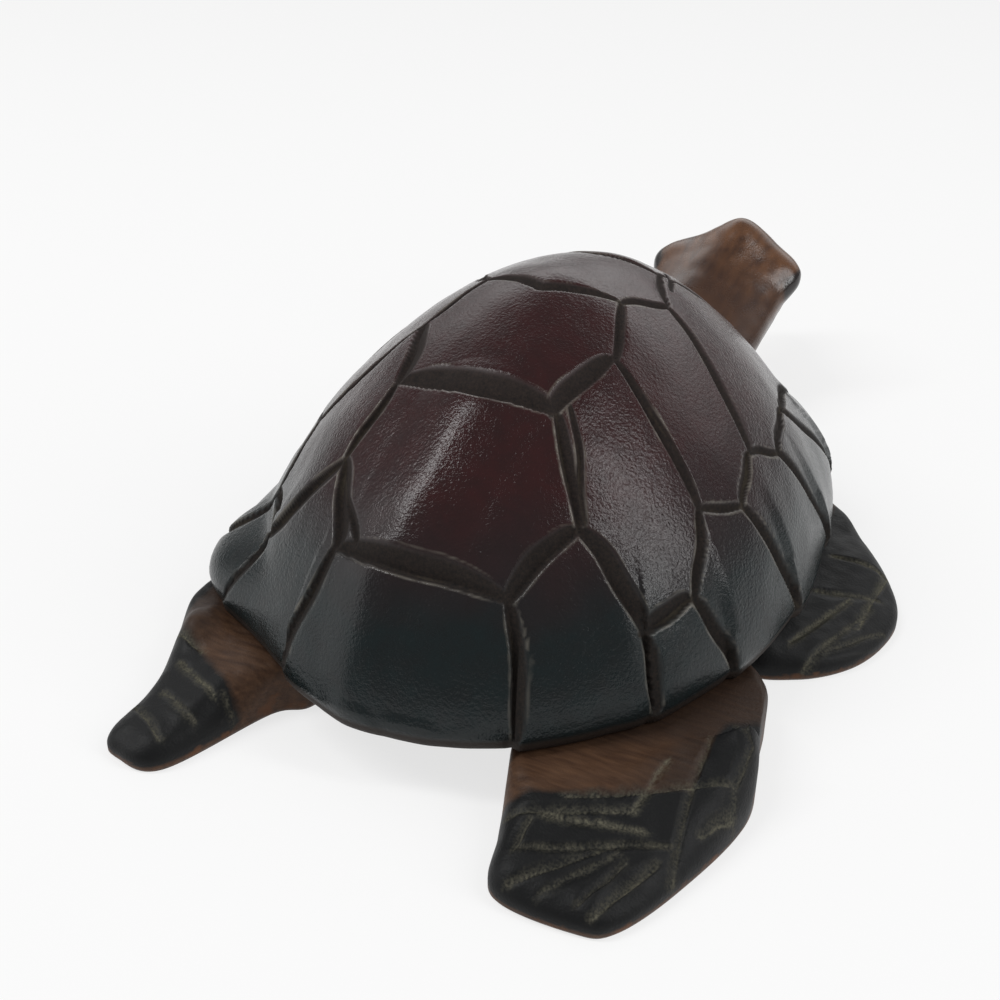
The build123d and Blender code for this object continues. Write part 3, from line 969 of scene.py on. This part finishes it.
def scored(plan, lines, seed):
    """The depth of the knife lines over a flipper's plan, and their painted values."""
    flat = np.concatenate([plan, 0 * plan[..., :1]], -1)
    depth = np.zeros(plan.shape[:-1])
    paint = {label: np.zeros(depth.shape) for label in ("cut", "dust_and_shade", "wear_and_highlight")}
    dice = np.random.default_rng(seed)
    for line in lines:
        run, side = along_stroke(flat, [(x, y, 0) for x, y in line], flat_up)
        side = side + 0.06 * np.sin(2 * np.pi * (1.4 * run + dice.uniform()))
        lean = side * dice.choice([-1, 1])
        width = dice.uniform(*SCORE_WIDTHS)
        deep = dice.uniform(*SCORE_DEPTHS)
        groove, marks = knife_cut(run, lean, width, SCORE_WALL, deep, SCORE_TAIL, SCORE_FINENESS)
        smudge = 0.55 * np.exp(-np.abs(lean + 0.35) / 0.45)
        marks["dust_and_shade"] = dice.uniform(*DUST_AMOUNTS) * np.maximum(marks["dust_and_shade"], smudge)
        depth = np.maximum(depth, groove)
        for label, values in marks.items():
            paint[label] = np.maximum(paint[label], values)
    return depth, paint


print("scores are", SCORE_DEPTHS, "mm deep")

# %% [markdown]
# ## Flippers: all four
# The two in front share one outline. Each is made for the right side, and the left ones are mirrored last.


# %% Four flippers
def make_flipper(name, outline, lines, dowel, slope, knuckle, seed, mirror):
    """One flipper, made for the right side of the turtle and mirrored for the left."""
    rim = closed_curve(outline, FLIPPER_TURNS)
    middle = rim.mean(0)
    share = 1 - (1 - np.linspace(0, 1, FLIPPER_RINGS + 1)[1:]) ** 1.5
    plan = middle + share[:, None, None] * (rim - middle)
    border = closed_curve(outline, 4 * FLIPPER_TURNS)
    inset = np.array([np.linalg.norm(row[:, None] - border, axis=-1).min(1) for row in plan])
    heading = math.radians(slope[0])
    begins = slope[1]
    reach = (plan - dowel) @ np.array([math.cos(heading), math.sin(heading)])
    top = flipper_top(plan, inset, reach, slope, knuckle)
    points = np.concatenate([plan, top[..., None]], -1)
    depth, paint = scored(plan, lines, seed)
    rough = 0.16 * unevenness(points, 7, seed) + 0.05 * unevenness(points, 2.5, seed + 1)
    top = np.maximum(top + (rough - depth) * np.clip(inset / 1.5, 0.15, 1), LEAST_TOP)
    points[..., 2] = np.where(reach < begins - 3, np.minimum(top, ROOT_TOP), top)
    sole = under_sole(rim, middle)
    rings = np.concatenate([points, sole])
    blank = np.zeros(sole.shape[:2])
    outwards = plan[..., 0]
    down_slope = reach - begins
    outer_tip = smoothstep(*OUTER_BLACK, outwards) * smoothstep(4, 9, reach)
    paint["black"] = np.maximum(smoothstep(*BLACK_FROM, down_slope), outer_tip)
    # Painted shade: darker under the shell's rim and along the outer side.
    paint["root"] = np.maximum(smoothstep(*SHADE_TO, down_slope), smoothstep(*OUTER_SHADE, outwards))
    paint = {label: np.concatenate([values, blank]) for label, values in paint.items()}
    paint["bare"] = np.concatenate([np.zeros(top.shape), blank + 1])
    paint["bare"][FLIPPER_RINGS - 1] = 0.6
    first = np.array([*middle, points[0, :, 2].mean()])
    last = np.array([*middle, 0.0])
    if mirror:
        rings = rings[:, ::-1] * [-1, 1, 1]
        paint = {label: values[:, ::-1] for label, values in paint.items()}
        first = first * [-1, 1, 1]
        last = last * [-1, 1, 1]
    piece = ring_mesh(name, rings, first, last, paint)
    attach(piece, "root")
    return piece


REAR = (REAR_DOWEL, REAR_SLOPE)
# Place, size and height.
RIGHT_KNUCKLE = ((37.6, -27.5), (3, 5), 2.5)
LEFT_KNUCKLE = ((31, -40), (2.5, 4), 2.0)
FRONT_FORM = (FRONT, FRONT_LINES, FRONT_DOWEL, FRONT_SLOPE, ((41, 12), (3, 6), 0.8))
FLIPPERS = {
    "rear_right_flipper": (REAR_RIGHT, REAR_RIGHT_LINES, *REAR, RIGHT_KNUCKLE, 21, False),
    "rear_left_flipper": (REAR_LEFT, REAR_LEFT_LINES, *REAR, LEFT_KNUCKLE, 31, True),
    "front_right_flipper": (*FRONT_FORM, 41, False),
    "front_left_flipper": (*FRONT_FORM, 51, True),
}
flippers = {node: make_flipper("scored_" + node, *form) for node, form in FLIPPERS.items()}
for node, piece in flippers.items():
    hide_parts(node)
print(len(flippers), "flippers")

# %% [markdown]
# ## Stain on the flippers
# Near the shell the flippers are the brown of the wood, with painted shade under the rim and along the
# outer side; from there to the tips they are stained black. The knife lines hold pale dust, their edges
# are rubbed pale with a painted highlight, and the sole is bare wood.

# %% Flipper stain
flipper_stain, start = new_finish("flipper_stain")
mottle = start.speckle(2.0, 4)
grain = start.speckle(0.7, 3, (0.15, 1, 1))
fine = start.speckle(0.3, 3)
black = (start.painted("black") + 0.5 * (mottle - 0.5)).over(0.25, 0.75)
stain = grain.over(0.3, 0.7).mix(colour(0.046, 0.022, 0.012), colour(0.092, 0.047, 0.025))
# Painted shade under the shell's rim and along the outer side.
stain = (start.painted("root") * 0.7).mix(stain, colour(0.018, 0.012, 0.0095))
stain = black.mix(stain, colour(0.0055, 0.0058, 0.0062))
# Pale edges of the knife lines: wear, with a painted highlight.
edges = (start.painted("wear_and_highlight") * mottle.over(0.3, 0.7)).over(0.1, 0.9) * 0.2
stain = edges.mix(stain, colour(0.060, 0.056, 0.046))
dusty = (start.painted("dust_and_shade") * fine.over(0.2, 0.65) * mottle.over(0.1, 0.6)).over(0.06, 0.8)
stain = (dusty * 0.8).mix(stain, colour(0.150, 0.140, 0.100))
bare = (start.painted("bare") * mottle.over(0.4, 0.65)).over(0.3, 0.9)
stain = bare.mix(stain, colour(0.110, 0.046, 0.020))
gloss = 0.40 + 0.2 * mottle + 0.3 * dusty
relief = fine * 0.6 + grain * 0.5 + mottle * 0.5
surface(start, stain, gloss, relief, 0.08, {"Specular IOR Level": 0.2})
for piece in flippers.values():
    piece.data.materials.append(flipper_stain)
print("flippers stained")

# %% [markdown]
# ## Head and neck
# The neck rises out of the shell and swells into a blunt head with a section like a rounded diamond:
# a flat-sided crown that leans a little to the right, a corner at each eye and a narrower jaw. Its rings
# stand square to the turtle's length.

# %% Head shape
HEAD_TURNS = 240
HEAD_RINGS = 180
HEAD_SHIFT = 1.7
CROWN_LEAN = 1.5
CROWN_PLACE = 74
CROWN_SPREAD = 9
# Where the neck starts and ends to bend, and where its shade fades out.
NECK_BEND = (51.3, 72)
NECK_SHADE = (72, 58)
# Place along, height of the cheek, half width, crown above it, jaw below it, and fullness of the crown.
STATIONS = [
    (34, 11.2, 12.0, 6.2, 6.2, 2.0), (46, 11.2, 12.2, 6.4, 6.4, 2.0), (52, 12.4, 12.4, 7.0, 7.0, 1.85),
    (58, 14.8, 12.6, 7.3, 7.7, 1.6), (63, 17.0, 12.7, 7.2, 8.2, 1.4), (68, 19.2, 12.6, 8.0, 8.6, 1.25),
    (74, 20.6, 12.2, 9.9, 8.4, 1.14), (79.5, 20.1, 10.4, 7.2, 7.6, 1.08), (85, 18.9, 8.2, 5.0, 6.2, 1.25),
    (88.3, 17.9, 5.2, 4.2, 4.4, 1.9), (90, 17.4, 2.8, 2.2, 2.4, 2.0),
]
NOSE = (90.4, 17.3)
CREST_ROUNDING = 0.16
# Place along, spread, angle above the cheek, its spread, and height.
EYE_LOBE = (72.0, 4.4, 8.0, 17.0, 2.5)


def open_curve(rows, count):
    """A smooth line through rows of numbers, evenly spread along the first of them."""
    rows = np.array(rows, float)
    knots = rows[:, 0]
    slopes = np.gradient(rows, knots, axis=0)
    where = np.linspace(knots[0], knots[-1], count)
    step = np.clip(np.searchsorted(knots, where, side="right") - 1, 0, len(knots) - 2)
    width = (knots[step + 1] - knots[step])[:, None]
    part = (where - knots[step])[:, None] / width
    ease = part * part * (3 - 2 * part)
    bow = part * (1 - part) * ((1 - part) * slopes[step] - part * slopes[step + 1]) * width
    return rows[step] * (1 - ease) + rows[step + 1] * ease + bow


def blank_head():
    """The head's rings before the face is cut, and the way outwards at each point."""
    along, cheek, half, up, down, fullness = open_curve(STATIONS, HEAD_RINGS).T[..., None]
    turn = np.linspace(0, 2 * np.pi, HEAD_TURNS, endpoint=False)
    cos = np.cos(turn)
    sin = np.sin(turn)
    wide = np.hypot(cos, CREST_ROUNDING) / half
    crown = (wide**fullness + (np.hypot(sin, CREST_ROUNDING) / up) ** fullness) ** (-1 / fullness)
    jaw = 1 / np.hypot(wide, sin / down)
    reach = jaw + (crown - jaw) * smoothstep(-0.5, 0.15, sin)
    lobe_along, lobe_spread, lobe_turn, lobe_width, lobe_height = EYE_LOBE
    above = np.degrees(np.arctan2(sin, np.abs(cos)))
    reach = reach + lobe_height * bell(along - lobe_along, lobe_spread) * bell(above - lobe_turn, lobe_width)
    axis = np.stack([0 * reach, along + 0 * reach, cheek + 0 * reach], -1)
    outwards = np.stack([cos, 0 * cos, sin], -1) + 0 * axis
    return axis + reach[..., None] * outwards, outwards, along, cheek


print("the nose is", NOSE[0], "mm in front of the middle of the shell")

# %% [markdown]
# ## The face
# The photograph shows only the edge of one dark eye. So the face is kept plain, with painted eyes, two
# nostrils and a mouth line.

# %% Face and head
EYE = (12.6, 72.2, 19.9)
EYE_SIZE = (4.6, 3.0)
EYE_GROOVE = 0.12
MOUTH = [(9.3, 78.0, 15.6), (6.6, 85.0, 15.2), (0.0, 90.6, 15.6)]
NOSTRIL = (1.7, 89.2, 18.6)
FACE_CUT = 0.6
MUZZLE = (0, 74, 18)


def face_marks(points):
    """How deep the face is cut, where the eyes are black, and the painted shade of the nostrils and mouth."""
    depth = np.zeros(points.shape[:-1])
    black = np.zeros(depth.shape)
    recess_shade = np.zeros(depth.shape)
    for hand in (-1, 1):
        away = points - np.array(EYE) * [hand, 1, 1]
        gap = np.hypot(away[..., 1] / EYE_SIZE[0], away[..., 2] / EYE_SIZE[1])
        near = np.abs(away[..., 0]) < 5
        depth += near * EYE_GROOVE * bell(gap - 1.1, 0.25)
        black = np.maximum(black, near * smoothstep(1.05, 0.85, gap))
        hole = np.linalg.norm(points - np.array(NOSTRIL) * [hand, 1, 1], axis=-1)
        depth += FACE_CUT * bell(hole, 0.55)
        recess_shade = np.maximum(recess_shade, bell(hole, 0.7))
        lips = [np.array(spot) * [hand, 1, 1] for spot in MOUTH]
        _, gap = along_stroke(points, lips, lambda spot: unit(spot - np.array(MUZZLE)))
        slit = bell(gap, 0.45)
        depth += FACE_CUT * slit
        recess_shade = np.maximum(recess_shade, slit)
    return depth, black, recess_shade


def make_head():
    """The head and neck as one closed piece."""
    points, outwards, along, cheek = blank_head()
    depth, black, recess_shade = face_marks(points)
    shift = 0.12 * unevenness(points, 9, 61) + 0.04 * unevenness(points, 3, 62) - depth
    points = points + shift[..., None] * outwards
    points[..., 0] += HEAD_SHIFT * smoothstep(*NECK_BEND, points[..., 1])
    crown = smoothstep(0, 7, points[..., 2] - cheek) * bell(along - CROWN_PLACE, CROWN_SPREAD)
    points[..., 0] += CROWN_LEAN * crown
    first = np.array([0, *STATIONS[0][:2]])
    nose = np.array([HEAD_SHIFT, *NOSE])
    shaded = smoothstep(*NECK_SHADE, points[..., 1])
    # The nostrils and mouth line carry painted shade, kept with the dust values.
    paint = {"black": black[:, ::-1], "dust_and_shade": recess_shade[:, ::-1], "shaded": shaded[:, ::-1]}
    return ring_mesh("carved_head", points[:, ::-1], first, nose, paint)


head = make_head()
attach(head, "root")
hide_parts("head_and_neck")

# %% [markdown]
# ## Wood of the head
# The head was left the brown of the wood and only lacquered. Darker streaks of grain run along it, the
# neck and the nostrils and mouth line get painted shade, and the eyes are painted black. The belly
# board, its pegs and the hidden dowels are plain wood of other shades.


# %% Wood finishes
def wood(name, pale, deep, rough, grain_stretch):
    """Lacquered wood with streaks of grain, pores, any painted black and dust, and any painted shade."""
    finish, start = new_finish(name)
    streaks = start.speckle(1.6, 4, grain_stretch)
    clouds = start.speckle(9, 2)
    fine = start.speckle(0.3, 3)
    shade = (0.65 * streaks + 0.35 * clouds).over(0.35, 0.68)
    stain = shade.mix(colour(*deep), colour(*pale))
    # Painted shade: the neck darkens towards the shell.
    stain = (start.painted("shaded") * 0.7).mix(stain, colour(0.030, 0.013, 0.008))
    # Painted shade in the nostrils and mouth line, and dust where any is painted.
    stain = (start.painted("dust_and_shade") * 0.8).mix(stain, colour(0.016, 0.009, 0.006))
    stain = (start.painted("black") * 0.95).mix(stain, colour(0.012, 0.010, 0.010))
    gloss = rough + 0.16 * clouds + 0.06 * fine - 0.08 * start.painted("black")
    surface(start, stain, gloss, streaks * 0.6 + fine * 0.4, 0.07, {"Specular IOR Level": 0.5})
    return finish


head_wood = wood("head_wood", (0.150, 0.065, 0.027), (0.048, 0.019, 0.009), 0.16, (1, 0.22, 1))
head.data.materials.append(head_wood)
shown = {
    "plastron": wood("belly_wood", (0.100, 0.052, 0.028), (0.050, 0.025, 0.014), 0.42, (1, 0.12, 1)),
    "belly_pegs": wood("peg_wood", (0.150, 0.085, 0.045), (0.080, 0.042, 0.022), 0.48, (1, 1, 0.2)),
}
dowel_wood = wood("dowel_wood", (0.42, 0.27, 0.14), (0.26, 0.15, 0.07), 0.55, (1, 1, 0.2))
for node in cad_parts:
    if node.endswith("_dowel"):
        shown[node] = dowel_wood
for node, finish in shown.items():
    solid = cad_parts[node]
    for place in solid.material_slots:
        place.material = finish
print("wood on", ", ".join(shown))
